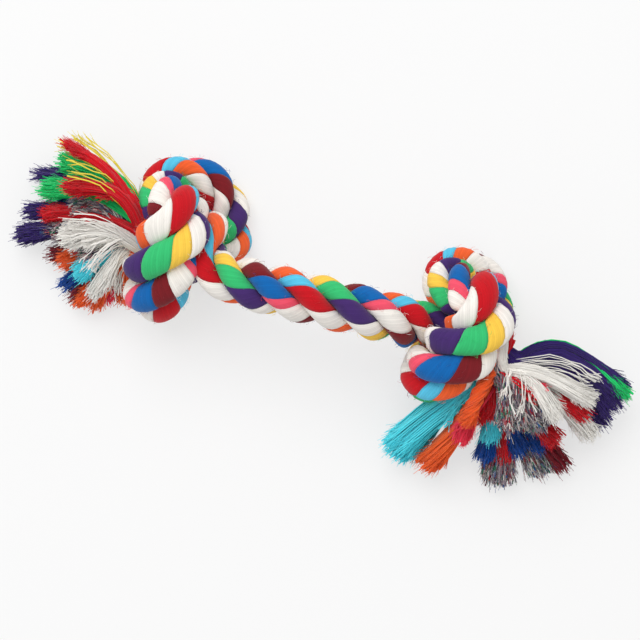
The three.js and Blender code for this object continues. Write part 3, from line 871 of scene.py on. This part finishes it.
def yarnMaterial(name):
    material = bpy.data.materials.new(name + "Cotton")
    material.use_nodes = True
    tree = material.node_tree
    t = Tree(tree)
    along, tint = valueAlong(t, "yarnAlong"), valueAlong(t, "yarnTint")
    grain = t.add("ShaderNodeGroup", {}, node_tree=yarnGrainAndShade)
    tree.links.new(valueAlong(t, "yarnAcross"), grain.inputs["Across"])
    tree.links.new(along, grain.inputs["Along"])
    tree.links.new(tint, grain.inputs["Tint"])
    grain.inputs["Yarn Width"].default_value = lay["yarnPitch"]
    dye = mixedColor(t, along, tint) if name == "core" else dyedColor(t, name)
    bump = t.add("ShaderNodeBump", {
        "Strength": cotton["bump"], "Distance": cotton["bumpDepth"], "Height": grain.outputs["Height"],
    })
    shader = tree.nodes["Principled BSDF"]
    tree.links.new(t.scaled(dye, grain.outputs["Shade"]), shader.inputs["Base Color"])
    tree.links.new(t.out(bump), shader.inputs["Normal"])
    shader.inputs["Roughness"].default_value = cotton["roughness"]
    shader.inputs["Sheen Weight"].default_value = cotton["sheen"]
    shader.inputs["Specular IOR Level"].default_value = cotton["specular"]
    return material


materials = {name: yarnMaterial(name) for name in [*colors, "core"]}
print("materials made")


# Each bundle is one piece from tassel to tassel. Of a core only the loose yarn shows.

def joinMeshes(name, meshes):
    parts = [linkPiece(name + str(i), mesh) for i, mesh in enumerate(meshes)]
    if len(parts) > 1:
        chosen = {"active_object": parts[0], "selected_editable_objects": parts}
        with bpy.context.temp_override(**chosen):
            bpy.ops.object.join()
    parts[0].name = name
    return parts[0]


def guidesFor(strandName, bundleName, rings):
    middles = rings.mean(axis=1)
    inside, step = tassel["rootRings"], tassel["rootStep"]
    starts = (middles[inside::-step], middles[-1 - inside :: step])
    ends = (walk["centre"][0], walk["centre"][-1])
    guides = []
    for tufts, start, centre in zip((leftTufts, rightTufts), starts, ends):
        for tuft in tufts:
            if tuft[:2] == (strandName, bundleName):
                guides.append((tuftGuide(start, centre, tuft), tuft))
    return guides


def makeBundle(strandName, strandIndex, bundleName, start, share):
    material = materials[bundleName]
    arcCount = max(lay["fewestArcPoints"], round(share * lay["arcPoints"]))
    if bundleName == "core":
        arcCount = lay["coreArcPoints"]
    rings, yarnAcross = bundleSection(strandIndex, strands[strandName], start, share, arcCount)
    name = f"strand{strandName}{bundleName.title().replace('_', '')}"
    meshes = []
    if bundleName != "core":
        meshes.append(fuzzy(name, laidMesh(name, settled(rings), yarnAcross), material))
    guides = guidesFor(strandName, bundleName, rings)
    meshes.append(growTufts(name + "Guides", guides, material))
    piece = joinMeshes(name, meshes)
    low = strandName.lower()
    node = f"strand_{low}_mixed_core" if bundleName == "core" else f"strand_{low}_{bundleName}_yarn"
    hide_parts(node)
    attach(piece, "root")


for strandIndex, (strandName, strand) in enumerate(strands.items()):
    start = 0
    for bundleName, share in strand["bundles"]:
        makeBundle(strandName, strandIndex, bundleName, start, share)
        start += share
    makeBundle(strandName, strandIndex, "core", 0, 1)
    print("strand", strandName, "made")


# Studio

studio = {
    "floorSize": 6,
    "floorColor": 0.82,
    "floorRoughness": 0.9,
    "floorWhiteness": 0.62,
    "keyPower": 28,
    "keySize": 1.6,
    "keyPlace": (-0.7, 0.9, 1.8),
    "worldStrength": 0.66,
}


def seenDirectly(t):
    ray = t.add("ShaderNodeLightPath")
    seen = t.math("MAXIMUM", t.out(ray, "Is Glossy Ray"), t.out(ray, "Is Transmission Ray"))
    return t.math("MAXIMUM", t.out(ray, "Is Camera Ray"), seen)


# The floor is part plain white where it is seen, and the rest is lit and holds the shadow

def makeFloor():
    half = studio["floorSize"] / 2
    corners = [(-half, -half, 0), (half, -half, 0), (half, half, 0), (-half, half, 0)]
    mesh = bpy.data.meshes.new("floor")
    mesh.from_pydata(corners, [], [(0, 1, 2, 3)])
    material = bpy.data.materials.new("paleFloor")
    material.use_nodes = True
    tree = material.node_tree
    t = Tree(tree)
    shader = tree.nodes["Principled BSDF"]
    shader.inputs["Base Color"].default_value = (*[studio["floorColor"]] * 3, 1)
    shader.inputs["Roughness"].default_value = studio["floorRoughness"]
    white = t.add("ShaderNodeEmission", {"Color": (1, 1, 1, 1), "Strength": 1.0})
    share = t.times(seenDirectly(t), studio["floorWhiteness"])
    mixed = t.add("ShaderNodeMixShader", {0: share, 1: shader, 2: white})
    tree.links.new(t.out(mixed), tree.nodes["Material Output"].inputs["Surface"])
    mesh.materials.append(material)
    floor = linkPiece("floor", mesh)


def makeKey():
    lamp = bpy.data.lights.new("softKey", "AREA")
    lamp.energy = studio["keyPower"]
    lamp.size = studio["keySize"]
    key = linkPiece("softKey", lamp)
    key.location = studio["keyPlace"]
    key.rotation_euler = (-Vector(studio["keyPlace"])).to_track_quat("-Z", "Y").to_euler()


def makeWorld():
    world = bpy.data.worlds.new("paleRoom")
    world.use_nodes = True
    background = world.node_tree.nodes["Background"]
    background.inputs["Color"].default_value = (1, 1, 1, 1)
    t = Tree(world.node_tree)
    levels = {"Factor": seenDirectly(t), "A": studio["worldStrength"], "B": 1.0}
    strength = t.out(t.add("ShaderNodeMix", levels, data_type="FLOAT"))
    world.node_tree.links.new(strength, background.inputs["Strength"])
    bpy.context.scene.world = world


makeFloor()
makeKey()
makeWorld()
print("studio made")
